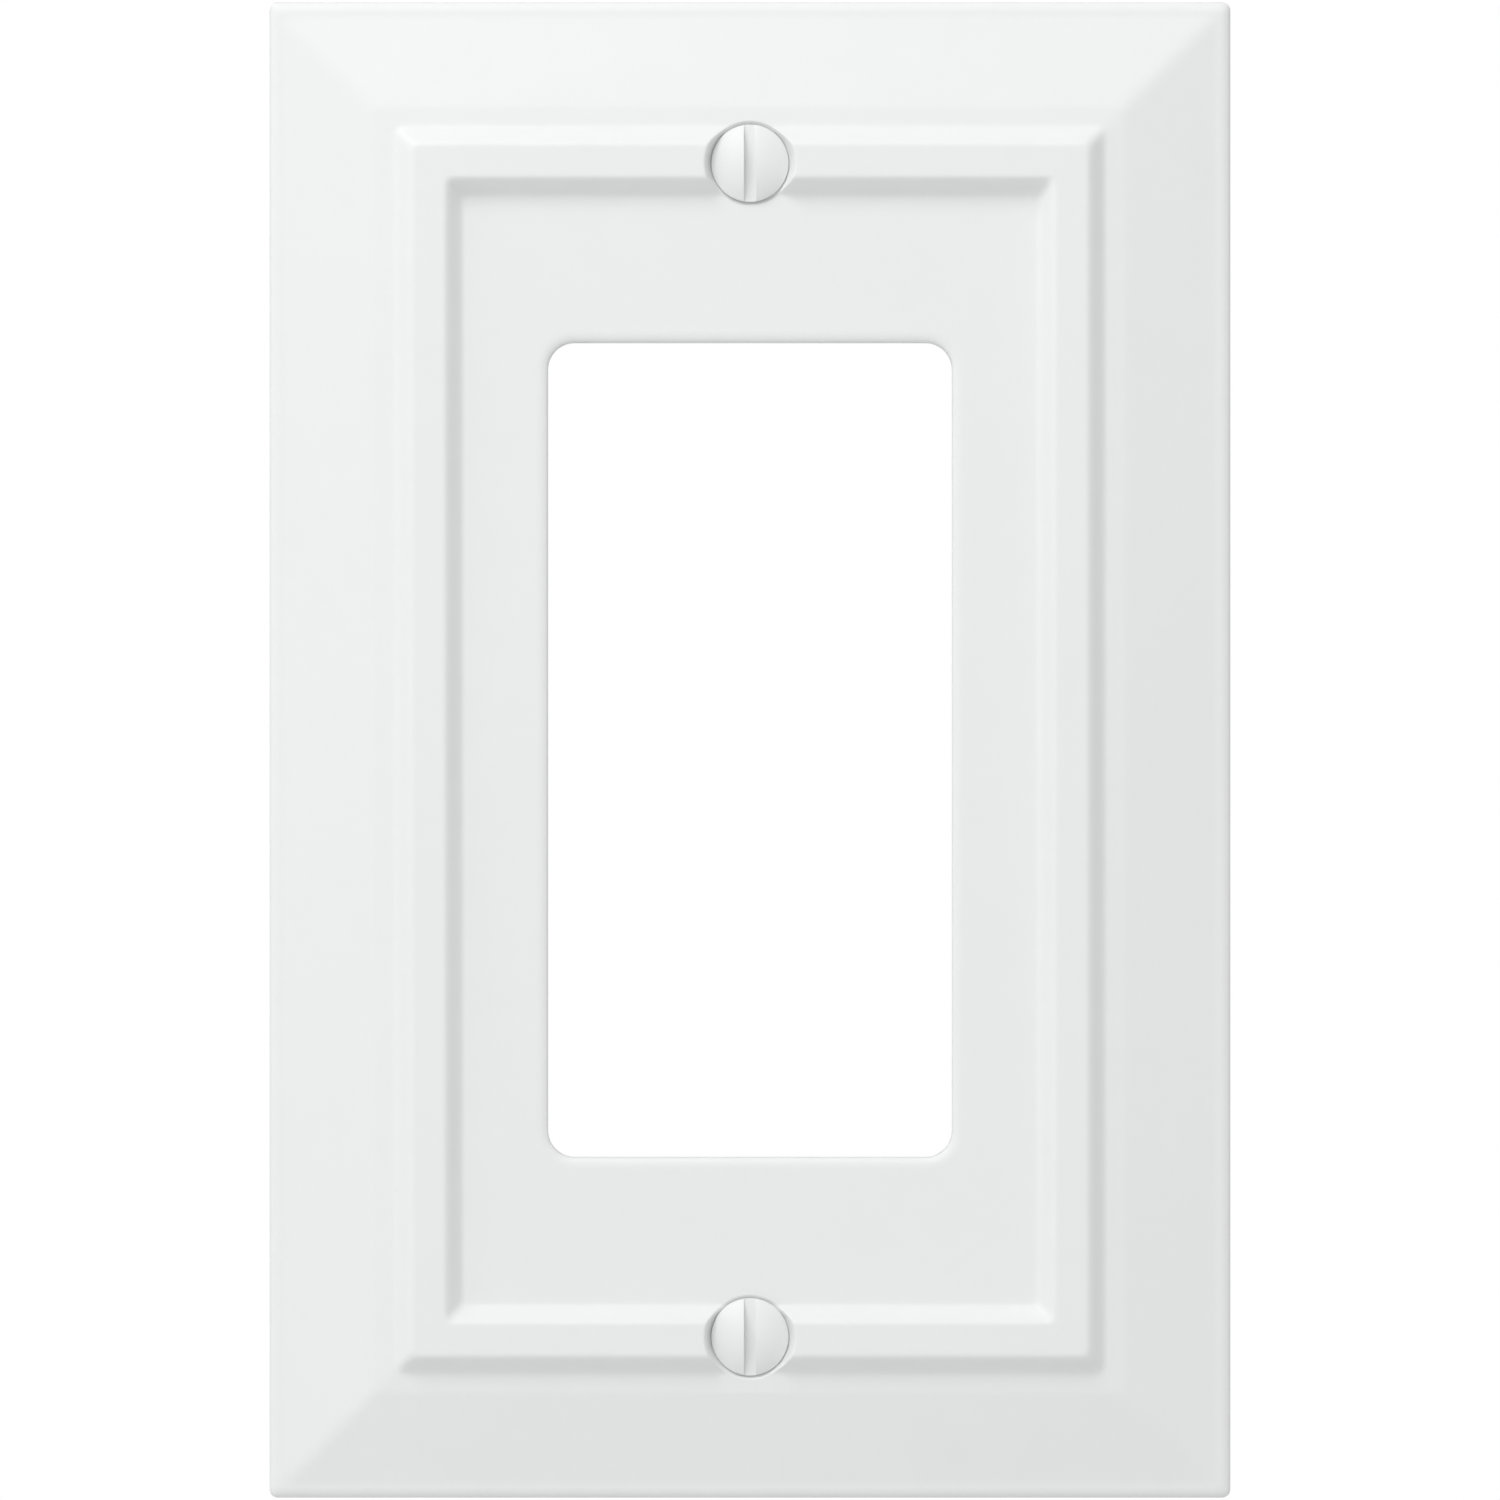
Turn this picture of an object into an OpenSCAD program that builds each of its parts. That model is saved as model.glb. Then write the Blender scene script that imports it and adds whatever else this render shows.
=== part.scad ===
// One-gang wall plate with a stepped frame, a wide device opening and two cover screws.
// It stands upright as on a wall: X across, Z up, the wall is the plane Y = 0 and the
// front faces -Y. The origin is on the wall plane at the centre of the opening.

/* [Plate] */
// Overall width of the plate
plate_w = 79.4; // [76:0.1:86]
// Overall height of the plate
plate_h = 123.6; // [120:0.1:130]
// Height of the sloping border above the wall at its outer edge
edge_h = 4.5; // [4:0.1:5]
// Width of the plate's rounded outer front edge
edge_round = 1.1; // [0.6:0.1:1.6]
// Drop of that edge from the border down to the flank
edge_drop = 0.6; // [0.3:0.1:1.2]
// Height of the sloping border where it meets the ridge
border_h = 6.7; // [6.5:0.1:7]
// Height of the raised ridge above the wall
ridge_h = 8.1; // [7.6:0.1:8.6]
// Height of the flat panel inside the ridge
panel_h = 6.4; // [6:0.1:6.6]
// Thickness of the cast wall
wall = 2; // [1.6:0.1:2.2]

/* [Frame widths, measured inwards from the outer edge] */
// Where the sloping border meets the easing below the ridge
ease_at = 8.75; // [8:0.05:9.5]
// How far the border lies below its full height there
ease_drop = 0.13; // [0.05:0.01:0.3]
// Outer foot of the ridge
ridge_outer = 10.2; // [9.7:0.05:10.4]
// Start of the ridge's flat top
top_outer = 12; // [11.7:0.05:12.3]
// End of the ridge's flat top
top_inner = 14.45; // [13.9:0.05:14.6]
// Inner foot of the ridge, where the panel starts
ridge_inner = 16.1; // [15.9:0.05:16.8]

/* [Underside] */
// Width of the rim that rests on the wall
rim_w = 1.7; // [1.2:0.1:2]
// Distance from the outer edge to the near side of the groove behind the ridge
groove_outer = 11.6; // [11.2:0.1:12]
// Distance from the outer edge to the far side of that groove
groove_inner = 14.4; // [14:0.1:15]
// Width of each of the groove's sloping sides
groove_side = 0.8; // [0.4:0.1:0.9]
// Thickness of the web between each boss and the collar
web_w = 1.2; // [0.8:0.1:2]

/* [Device opening] */
// Width of the opening
opening_w = 33.4; // [32:0.1:34]
// Height of the opening
opening_h = 67.3; // [66:0.1:68]
// Corner radius of the opening
opening_r = 2.2; // [1:0.1:3]
// How far the collar round the opening reaches back from the panel's front
collar_depth = 3.6; // [2.6:0.1:4]
// Wall thickness of that collar
collar_wall = 1.6; // [1.2:0.1:2]

/* [Screw holes] */
// Distance between the two screw centres
screw_spacing = 96.84; // [96.4:0.02:97.2]
// Radius of the through hole
hole_r = 2.15; // [2:0.05:2.4]
// Radius of the countersink's mouth
sink_r = 3.4; // [3.3:0.05:3.8]
// Included angle of the countersink and of the screw head
sink_angle = 82; // [80:1:90]
// Radius of the boss behind each hole
boss_r = 4.3; // [4:0.1:5]
// Height above the wall at which the boss ends
boss_end = 1.6; // [1.2:0.1:2.4]

/* [Screws] */
// Radius of the screw head
head_r = 3.2; // [3:0.05:3.25]
// Height of the rim round the head
head_rim = 0.2; // [0.1:0.05:0.3]
// Rise of the domed top above the rim
head_dome = 0.95; // [0.6:0.05:1.05]
// Radius of the thread's crests
thread_r = 1.75; // [1.7:0.01:1.8]
// Radius of the plain neck inside the boss
neck_r = 1.4; // [1.2:0.05:1.6]
// Length of the screw from the rim's top to its end
screw_l = 12.7; // [9.5:0.1:19]
// Length of the tapered lead at the end of the thread
lead_l = 0.6; // [0.4:0.1:1]
// Width of the driver slot
slot_w = 1; // [0.8:0.1:1.2]
// Depth of the driver slot below the top of the dome
slot_depth = 1; // [0.7:0.05:1.1]
// Gap between the seated head and its countersink
seat_gap = 0.08; // [0.05:0.01:0.15]

/* [Hidden] */
$fn = 64;
spare = 1;
arc_steps = 7;
step_parts = 8;
run_deg = 90 / arc_steps;
groove_top = ridge_h - wall;
panel_back = panel_h - wall;
border_slope = (border_h - edge_h) / ease_at;
sink_slope = tan(sink_angle / 2);
sink_depth = (sink_r - hole_r) / sink_slope;
sink_bottom = border_h - sink_depth;
rim_low = border_h - (sink_r - head_r) / sink_slope + seat_gap;
rim_top = rim_low + head_rim;
head_top = rim_top + head_dome;
head_base = rim_low - (head_r - neck_r) / sink_slope;
screw_end = rim_top - screw_l;
dome_r = (head_r * head_r + head_dome * head_dome) / (2 * head_dome);
dome_angle = asin(head_r / dome_r);

// Height of the border's slope at a distance in from the edge
function border_at(w) = edge_h + border_slope * w;

// The quarter round of the outer front edge, from the flank up to the border
edge_arc = [
    for (i = [0:arc_steps])
        [
            edge_round * (1 - cos(i * run_deg)),
            border_at(edge_round) - edge_drop * (1 - sin(i * run_deg))
        ]
];

// A soft step from one point to another, level at both ends
function soft_step(from, to) = [
    for (i = [0:step_parts])
        let (part = i / step_parts)
            [from.x + (to.x - from.x) * part, from.y + (to.y - from.y) * part * part * (3 - 2 * part)]
];

// The frame's cross-section as [distance in from the edge, height above the wall]
section = concat(
    [[0, 0]],
    edge_arc,
    [[ease_at, border_at(ease_at) - ease_drop]],
    soft_step([ridge_outer, border_h], [top_outer, ridge_h]),
    soft_step([top_inner, ridge_h], [ridge_inner, panel_h]),
    [
        [ridge_inner, panel_back],
        [groove_inner + groove_side, panel_back],
        [groove_inner, groove_top],
        [groove_outer, groove_top],
        [groove_outer - groove_side, border_h - wall],
        [rim_w, border_at(wall) - wall],
        [rim_w, 0]
    ]
);

// Turns a shape drawn flat on its back, front up, so that it stands against the wall
module upright() {
    rotate([90, 0, 0]) children();
}

module rounded_rectangle(w, h, r) {
    square([w - 2 * r, h], center = true);
    square([w, h - 2 * r], center = true);
    for (x = [-1, 1], y = [-1, 1])
        translate([x * (w / 2 - r), y * (h / 2 - r)]) circle(r);
}

// One side of the frame: the section run along the edge, with both ends mitred
module frame_side(reach, run) {
    intersection() {
        rotate([90, 0, 0])
            linear_extrude(2 * run, center = true)
                polygon([for (p = section) [reach - p[0], p[1]]]);
        translate([0, 0, -spare])
            linear_extrude(ridge_h + 2 * spare)
                polygon([
                    [reach, run],
                    [reach, -run],
                    [reach - ridge_inner, ridge_inner - run],
                    [reach - ridge_inner, run - ridge_inner]
                ]);
    }
}

module frame() {
    for (turn = [0, 180]) {
        rotate(turn) frame_side(plate_w / 2, plate_h / 2);
        rotate(turn + 90) frame_side(plate_h / 2, plate_w / 2);
    }
}

module panel() {
    translate([0, 0, panel_back])
        linear_extrude(wall)
            square([plate_w - 2 * ridge_inner, plate_h - 2 * ridge_inner], center = true);
}

// The wall round the opening, behind the panel
module collar() {
    translate([0, 0, panel_h - collar_depth])
        linear_extrude(collar_depth - wall / 2)
            rounded_rectangle(
                opening_w + 2 * collar_wall, opening_h + 2 * collar_wall, opening_r + collar_wall
            );
}

// The boss behind a screw hole, with the web that ties it to the collar
module boss() {
    translate([0, screw_spacing / 2, boss_end])
        cylinder(h = panel_h - boss_end, r = boss_r);
    translate([-web_w / 2, opening_h / 2 + collar_wall / 2, panel_h - collar_depth])
        cube([web_w, screw_spacing / 2 - opening_h / 2 - collar_wall, collar_depth - wall / 2]);
}

// The through hole, its countersink and the straight wall where it cuts the ridge
module screw_hole() {
    translate([0, screw_spacing / 2, 0]) {
        cylinder(h = ridge_h + spare, r = hole_r);
        translate([0, 0, sink_bottom]) cylinder(h = sink_depth, r1 = hole_r, r2 = sink_r);
        translate([0, 0, border_h]) cylinder(h = ridge_h - border_h + spare, r = sink_r);
    }
}

module cover_plate() {
    color([0.93, 0.94, 0.94])
        upright()
            difference() {
                union() {
                    frame();
                    panel();
                    collar();
                    for (turn = [0, 180]) rotate(turn) boss();
                }
                translate([0, 0, -spare])
                    linear_extrude(ridge_h + 2 * spare)
                        rounded_rectangle(opening_w, opening_h, opening_r);
                for (turn = [0, 180]) rotate(turn) screw_hole();
            }
}

// The screw's outline on one side of its axis as [radius, height above the wall]
screw_outline = concat(
    [
        [0, screw_end],
        [neck_r, screw_end],
        [thread_r, screw_end + lead_l],
        [thread_r, boss_end],
        [neck_r, boss_end],
        [neck_r, head_base],
        [head_r, rim_low]
    ],
    [
        for (i = [arc_steps:-1:0])
            [
                dome_r * sin(i * dome_angle / arc_steps),
                head_top - dome_r + dome_r * cos(i * dome_angle / arc_steps)
            ]
    ]
);

// An oval-head screw seated in its hole, with the thread as a plain cylinder
module screw() {
    difference() {
        rotate_extrude() polygon(screw_outline);
        translate([-slot_w / 2, -head_r - spare, head_top - slot_depth])
            cube([slot_w, 2 * (head_r + spare), slot_depth + spare]);
    }
}

module upper_screw() {
    color([0.92, 0.92, 0.92]) upright() translate([0, screw_spacing / 2, 0]) screw();
}

module lower_screw() {
    color([0.92, 0.92, 0.92]) upright() translate([0, -screw_spacing / 2, 0]) screw();
}

cover_plate();
upper_screw();
lower_screw();
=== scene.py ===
"""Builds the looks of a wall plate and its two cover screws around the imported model.

The plate is drawn flat first, lying on its back: x across, y up the wall and z out of the wall.
Distances called w are measured inwards from the plate's outer edge. stand_up() then turns it
to face -Y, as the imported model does.
"""

import math

import bmesh
import bpy
from bpy.props import FloatProperty, FloatVectorProperty, IntProperty, PointerProperty
from bpy.types import Operator, Panel, PropertyGroup
from mathutils import Matrix, Vector


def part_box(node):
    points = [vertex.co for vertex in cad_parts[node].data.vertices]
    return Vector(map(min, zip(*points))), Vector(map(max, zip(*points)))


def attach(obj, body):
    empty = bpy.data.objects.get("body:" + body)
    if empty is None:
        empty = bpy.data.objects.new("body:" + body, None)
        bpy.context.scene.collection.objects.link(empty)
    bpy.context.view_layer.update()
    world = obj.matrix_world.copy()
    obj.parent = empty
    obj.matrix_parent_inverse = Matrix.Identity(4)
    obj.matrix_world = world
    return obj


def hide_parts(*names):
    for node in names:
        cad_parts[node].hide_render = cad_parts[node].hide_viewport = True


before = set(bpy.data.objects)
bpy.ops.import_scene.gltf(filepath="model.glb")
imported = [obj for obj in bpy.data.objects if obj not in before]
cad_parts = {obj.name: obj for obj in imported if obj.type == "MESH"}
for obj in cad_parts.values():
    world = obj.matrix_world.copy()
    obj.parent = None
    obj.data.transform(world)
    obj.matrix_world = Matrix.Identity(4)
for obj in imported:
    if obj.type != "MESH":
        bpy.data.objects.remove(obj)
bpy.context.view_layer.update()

bl_info = {
    "name": "Wall Plate Cover",
    "version": (1, 0, 0),
    "blender": (4, 5, 0),
    "location": "View3D > Sidebar > Wall Plate",
    "description": "A painted wall plate with a stepped frame and its cover screws",
    "category": "Add Mesh",
}

MM = 0.001
PLATE_LOW, PLATE_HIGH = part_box("cover_plate")
SCREW_LOW, SCREW_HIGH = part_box("upper_screw")
SCREW_HEIGHT = (SCREW_LOW.z + SCREW_HIGH.z) / 2
BACK_ATTRIBUTE = "back_of_casting"
# Half the included angle of the countersinks and of the screw heads
HALF_SINK = math.radians(41)
# Rounding of the screw head's rim and of its slot's edges
HEAD_SOFTNESS = 0.07 * MM


def length(name, description, value, **limits):
    """A length property with its default in metres."""
    return FloatProperty(
        name=name, description=description, default=value, unit="LENGTH", precision=5, **limits
    )


def position(name, description, value):
    """A position property with its default in metres."""
    return FloatVectorProperty(
        name=name, description=description, default=value, subtype="TRANSLATION", precision=3
    )


def power(name, description, value):
    """A power property with its default in watts."""
    return FloatProperty(name=name, description=description, default=value, min=0, unit="POWER")


def colour(name, description, value):
    """A colour property with its default as linear red, green and blue."""
    return FloatVectorProperty(
        name=name, description=description, default=value, subtype="COLOR", min=0, max=1
    )


# ---------------------------------------------------------------- sizes and colours


class PlateSizes(PropertyGroup):
    """Sizes of the cast plate"""

    width: length("Width", "Overall width of the plate", 2 * PLATE_HIGH.x)
    height: length("Height", "Overall height of the plate", 2 * PLATE_HIGH.z)
    edge_h: length("Edge height", "Height of the border at its outer edge", 4.5 * MM)
    edge_round: length("Edge rounding", "Width of the rounded outer front edge", 1.1 * MM)
    edge_drop: length("Edge drop", "Drop of the rounded outer front edge", 0.6 * MM)
    corner_r: length("Corner radius", "Radius of the four upright corners", 0.7 * MM)
    border_h: length("Border height", "Height of the border at the ridge", 6.7 * MM)
    ridge_h: length("Ridge height", "Height of the raised ridge", -PLATE_LOW.y)
    panel_h: length("Panel height", "Height of the flat panel", 6.4 * MM)
    wall: length("Wall", "Thickness of the casting", 2.0 * MM)
    ease_at: length("Easing", "Where the border meets the easing below the ridge", 8.75 * MM)
    ease_drop: length("Easing drop", "How far the border is below its full height there", 0.13 * MM)
    ridge_outer: length("Ridge outer foot", "Outer foot of the ridge", 10.2 * MM)
    top_outer: length("Ridge top outside", "Outer limit of the ridge's flat top", 12.0 * MM)
    top_inner: length("Ridge top inside", "Inner limit of the ridge's flat top", 14.45 * MM)
    ridge_inner: length("Ridge inner foot", "Inner foot of the ridge", 16.1 * MM)
    opening_w: length("Opening width", "Width of the device opening", 33.4 * MM)
    opening_h: length("Opening height", "Height of the device opening", 67.3 * MM)
    opening_r: length("Opening radius", "Corner radius of the opening", 2.2 * MM)
    opening_round: length("Opening edge", "Width of the opening's rounded front edge", 0.9 * MM)
    opening_drop: length("Opening edge drop", "Drop of the opening's rounded front edge", 0.4 * MM)
    collar_depth: length("Collar depth", "Depth of the wall round the opening", 3.6 * MM)
    collar_wall: length("Collar wall", "Thickness of the wall round the opening", 1.6 * MM)
    hole_r: length("Screw hole", "Radius of the screw holes", 2.15 * MM)
    sink_r: length("Countersink", "Radius of the countersink's mouth", 3.4 * MM)
    boss_r: length("Boss", "Radius of the boss behind each screw hole", 4.3 * MM)
    boss_end: length("Boss end", "Height of the boss's end above the wall", 1.6 * MM)
    web_w: length("Web", "Thickness of the web between boss and collar", 1.2 * MM)
    softness: length("Paint softness", "How far the paint rounds each crease", 0.1 * MM)
    mitre_softness: length("Mitre softness", "How far the mitred corners are rounded", 0.7 * MM)
    rim_w: length("Rim", "Width of the rim that rests on the wall", 1.7 * MM)
    groove_outer: length("Groove outside", "Outer side of the groove behind the ridge", 11.6 * MM)
    groove_inner: length("Groove inside", "Inner side of the groove behind the ridge", 14.4 * MM)
    groove_side: length("Groove sides", "Width of the groove's sloping sides", 0.8 * MM)


class ScrewSizes(PropertyGroup):
    """Sizes of the two cover screws"""

    head_r: length("Head radius", "Radius of the oval head", SCREW_HIGH.x)
    head_rim: length("Head rim", "Height of the rim round the head", 0.2 * MM)
    head_dome: length("Dome", "Rise of the domed top above the rim", 0.95 * MM)
    thread_r: length("Thread radius", "Radius of the thread's crests", 1.75 * MM)
    root_r: length("Root radius", "Radius of the thread's roots", 1.32 * MM)
    neck_r: length("Neck radius", "Radius of the plain neck", 1.4 * MM)
    pitch: length("Pitch", "Distance between threads", 0.794 * MM)
    thread_start: length("Thread start", "Height at which the thread starts", 1.6 * MM)
    lead: length("Lead", "Length of the taper at both ends of the thread", 0.6 * MM)
    slot_w: length("Slot width", "Width of the driver slot", 1.0 * MM)
    slot_depth: length("Slot depth", "Depth of the slot below the dome's top", 1.0 * MM)


class Finish(PropertyGroup):
    """Colours and finishes"""

    paint: colour("Paint", "The plate's white paint", (0.84, 0.841, 0.84))
    paint_shade: colour("Paint shade", "The paint where it lies a little thinner", (0.832, 0.833, 0.831))
    back_paint: colour("Back", "The thin paint on the back", (0.66, 0.665, 0.66))
    zinc: colour("Zinc", "The screws' plated shanks", (0.62, 0.63, 0.64))
    paint_roughness: FloatProperty(
        name="Paint roughness", description="Roughness of the white paint", default=0.46, min=0, max=1
    )
    peel_size: length("Peel size", "Size of the paint's faint orange peel", 1.1 * MM)


class StudioSetup(PropertyGroup):
    """Camera, floor and light"""

    view_height: length("View height", "Height that the camera takes in", 0.12395)
    distance: length("Camera distance", "From the plate's front to the camera", 1.4)
    floor_gap: length("Floor gap", "How far the floor lies below the plate", 35 * MM)
    floor_size: length("Floor size", "Width of the floor", 40.0)
    fade_start: length("Fade start", "Where the floor starts to brighten to white", 0.15)
    fade_end: length("Fade end", "Where the floor is as white as the background", 0.7)
    ambient: FloatProperty(
        name="Ambient", description="Mean brightness of the room round the plate", default=0.618, min=0
    )
    ambient_tilt: FloatVectorProperty(
        name="Ambient tilt", description="How much brighter the room is towards +X, +Y and +Z",
        default=(0.015, 0.0, 0.05),
    )
    key_place: position(
        "Key place", "Where the large light above and in front hangs", (-0.27, -0.56, 0.62)
    )
    key_size: length("Key size", "Width of the large light above", 0.45)
    key_power: power("Key power", "Power of the large light above", 3.65)
    key_tint: colour("Key tint", "Colour of the large light above", (0.975, 1.0, 0.996))
    left_place: position("Left place", "Where the light to the left hangs", (-0.82, -0.29, 0.13))
    left_size: length("Left size", "Width of the light to the left", 0.4)
    left_power: power("Left power", "Power of the light to the left", 0.4)
    left_tint: colour("Left tint", "Colour of the light to the left", (0.85, 1.0, 0.98))


# ---------------------------------------------------------------- small helpers


def run_of(start, *legs):
    """Positions from start through each (stop, steps) leg."""
    places = [start]
    for stop, steps in legs:
        begin = places[-1]
        places += [begin + (stop - begin) * i / steps for i in range(1, steps + 1)]
    return places


def both_sides(places):
    """Places from 0 outwards, with their mirror images before them."""
    return [-p for p in reversed(places[1:])] + places


def blend_between(places, values, at):
    """Straight-line interpolation through (place, value) pairs in rising order."""
    if at <= places[0]:
        return values[0]
    for i in range(1, len(places)):
        if at <= places[i]:
            share = (at - places[i - 1]) / (places[i] - places[i - 1])
            return values[i - 1] + share * (values[i] - values[i - 1])
    return values[-1]


def softened(profile, at, reach, samples=4):
    """The mean of a profile over a short reach either side, as thick paint rounds a crease."""
    offsets = [reach * i / samples for i in range(-samples, samples + 1)]
    return sum(profile(at + offset) for offset in offsets) / len(offsets)


def soft_step(part):
    """A soft step from 0 to 1, level at both ends."""
    part = min(max(part, 0), 1)
    return part * part * (3 - 2 * part)


def smooth_min(a, b, reach):
    """The smaller of two values, rounded where they are within reach of each other."""
    if reach <= 0:
        return min(a, b)
    overlap = max(reach - abs(a - b), 0) / reach
    return min(a, b) - overlap * overlap * reach / 4


def quarter_round(width, drop, steps):
    """(across, down) along a quarter round, from its level start to its upright end."""
    angles = [math.pi / 2 * i / steps for i in range(steps + 1)]
    return [(width * math.sin(a), drop * (1 - math.cos(a))) for a in angles]


def stand_up(bm):
    """Turns what was drawn flat so that it stands against the wall and faces -Y."""
    bmesh.ops.rotate(bm, cent=(0, 0, 0), matrix=Matrix.Rotation(math.pi / 2, 3, "X"), verts=bm.verts)


def finish_piece(name, bm, materials, body, nodes=(), crease=180):
    """Makes a bmesh an object that rides on its CAD body and stands for its CAD nodes.

    Edges that turn through more than crease degrees stay crisp.
    """
    mesh = bpy.data.meshes.new(name)
    bm.to_mesh(mesh)
    bm.free()
    for material in materials:
        mesh.materials.append(material)
    mesh.shade_smooth()
    mesh.set_sharp_from_angle(angle=math.radians(crease))
    piece = bpy.data.objects.new(name, mesh)
    bpy.context.scene.collection.objects.link(piece)
    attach(piece, body)
    if nodes:
        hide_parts(*nodes)
    return piece


def add_modifier(piece, name, kind, **settings):
    modifier = piece.modifiers.new(name, kind)
    for key, value in settings.items():
        setattr(modifier, key, value)
    return modifier


# ---------------------------------------------------------------- the plate's shape

# Faces across the rounded outer edge
EDGE_STEPS = 8
# (distance in from the edge, faces up to it) in mm, past the rounded edge: border, foot, ridge, panel
FRAME_RUNS = ((8.58, 17), (9.6, 4), (16.8, 40), (18.18, 4))
# (distance in from the edge, height) in mm along the back of the rim, from the outer edge inwards
RIM_RING = (
    (0.0, 0.15), (0.04, 0.04), (0.15, 0.0), (0.8, 0.0), (1.5, 0.0), (1.64, 0.04),
    (1.7, 0.15), (1.76, 1.2), (1.82, 2.35), (1.95, 2.7), (2.2, 2.93),
)
# Rise per unit of distance beyond the countersink's mouth, where it cuts the ridge
MOUTH_RISE = 4.5
# How far apart the countersink and the moulding may be and still blend
MOUTH_BLEND = 0.55 * MM
# How far the back's creases are rounded
CAST_SOFTNESS = 0.25 * MM
# How far in from each end a web is joined to the boss and the collar
WEB_INSET = 0.5 * MM
# Length of each side that is drawn in to round an upright corner
CORNER_REACH = 3 * MM
# Two places closer than this are the same
TOUCH = 0.001 * MM


def edge_stations(sizes):
    """Places in from the outer edge where the casting has a line of vertices."""
    turns = [math.pi / 2 * i / EDGE_STEPS for i in range(EDGE_STEPS)]
    edge = [sizes.edge_round * (1 - math.cos(turn)) for turn in turns]
    return edge + run_of(sizes.edge_round, *[(stop * MM, steps) for stop, steps in FRAME_RUNS])


def front_profile(sizes, w):
    """Height of the moulded front at a distance in from the edge."""
    r, drop = sizes.edge_round, sizes.edge_drop
    slope = (sizes.border_h - sizes.edge_h) / sizes.ease_at
    if w < r:
        reach = 1 - max(w, 0) / r
        return sizes.edge_h + slope * r - drop + drop * math.sqrt(1 - reach * reach)
    if w < sizes.ridge_outer:
        places = (r, sizes.ease_at, sizes.ridge_outer)
        eased = sizes.border_h - sizes.ease_drop
        return blend_between(places, (sizes.edge_h + slope * r, eased, sizes.border_h), w)
    if w < sizes.top_inner:
        rise = soft_step((w - sizes.ridge_outer) / (sizes.top_outer - sizes.ridge_outer))
        return sizes.border_h + (sizes.ridge_h - sizes.border_h) * rise
    fall = soft_step((w - sizes.top_inner) / (sizes.ridge_inner - sizes.top_inner))
    return sizes.ridge_h + (sizes.panel_h - sizes.ridge_h) * fall


def back_profile(sizes, w):
    """Height of the casting's underside at a distance in from the edge."""
    slope = (sizes.border_h - sizes.edge_h) / sizes.ease_at
    groove, panel = sizes.ridge_h - sizes.wall, sizes.panel_h - sizes.wall
    rim_h = sizes.edge_h + slope * sizes.wall - sizes.wall
    places = (
        sizes.rim_w, sizes.groove_outer - sizes.groove_side, sizes.groove_outer,
        sizes.groove_inner, sizes.groove_inner + sizes.groove_side,
    )
    return blend_between(places, (rim_h, sizes.border_h - sizes.wall, groove, groove, panel), w)


def rim_route(sizes):
    """The back of the rim: the stations it uses, and the distance in and height at each."""
    stations = edge_stations(sizes)[: len(RIM_RING)]
    return stations, [w * MM for w, _ in RIM_RING], [h * MM for _, h in RIM_RING]


def edge_distances(sizes, point):
    """How far a point is in from the nearer upright edge and the nearer level edge."""
    return sizes.width / 2 - abs(point.x), sizes.height / 2 - abs(point.y)


def mitred(sizes, point):
    """Distance in from the edge, rounded a little across the mitres."""
    w_x, w_y = edge_distances(sizes, point)
    reach = min(sizes.mitre_softness, 0.5 * max(w_x, w_y, 0))
    return smooth_min(w_x, w_y, reach)


def hole_distance(point):
    """Distance from the nearer screw hole's centre."""
    return math.hypot(point.x, abs(point.y) - SCREW_HEIGHT)


def dish_height(sizes, distance):
    """Height of the countersink at a distance from its hole's centre."""
    cone = 1 / math.tan(HALF_SINK)
    if distance < sizes.sink_r:
        return sizes.border_h - (sizes.sink_r - distance) * cone
    return sizes.border_h + (distance - sizes.sink_r) * MOUTH_RISE


def front_height(sizes, point):
    """Height of the painted front, with the countersinks cut into the moulding."""
    w = mitred(sizes, point)
    soft = sizes.softness if w > sizes.edge_round + sizes.softness else 0
    if soft:
        moulding = softened(lambda at: front_profile(sizes, at), w, soft)
    else:
        moulding = front_profile(sizes, w)
    distance = hole_distance(point)
    if distance > 2 * sizes.sink_r:
        return moulding
    return smooth_min(moulding, dish_height(sizes, distance), MOUTH_BLEND)


def beside_web(sizes, point, height):
    """This height, or the web's where the point lies on a web between a boss and the collar."""
    on_web = abs(point.x) < sizes.web_w / 2 + 0.01 * MM
    low, high = sizes.opening_h / 2 + WEB_INSET, SCREW_HEIGHT - sizes.hole_r - WEB_INSET
    if on_web and low < abs(point.y) < high:
        return min(height, sizes.panel_h - sizes.collar_depth + 0.1 * MM)
    return height


def back_height(sizes, point):
    """Height of the casting's underside."""
    w = min(edge_distances(sizes, point))
    return beside_web(sizes, point, softened(lambda at: back_profile(sizes, at), w, CAST_SOFTNESS))


def round_corner(sizes, point):
    """Draws the four upright corners in to their radius."""
    reach = CORNER_REACH
    x = abs(point.x) - (sizes.width / 2 - reach)
    y = abs(point.y) - (sizes.height / 2 - reach)
    if x <= 0 or y <= 0:
        return
    share = max(x, y) / reach
    to_square = math.hypot(x, y) / share
    to_round = to_square
    centre = reach - sizes.corner_r
    if min(x, y) / max(x, y) > centre / reach:
        along = centre * (x + y) / math.hypot(x, y)
        to_round = along + math.sqrt(max(along * along - 2 * centre * centre + sizes.corner_r**2, 0))
    scale = 1 - (1 - to_round / to_square) * share**4
    point.x = math.copysign(sizes.width / 2 - reach + x * scale, point.x)
    point.y = math.copysign(sizes.height / 2 - reach + y * scale, point.y)


# ---------------------------------------------------------------- the plate's mesh

# Half the width of the square left open in the grid round each screw hole
HOLE_PATCH = 4.8 * MM
# Width of the strip left open round the device opening
COLLAR_PATCH = 1.7 * MM
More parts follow.
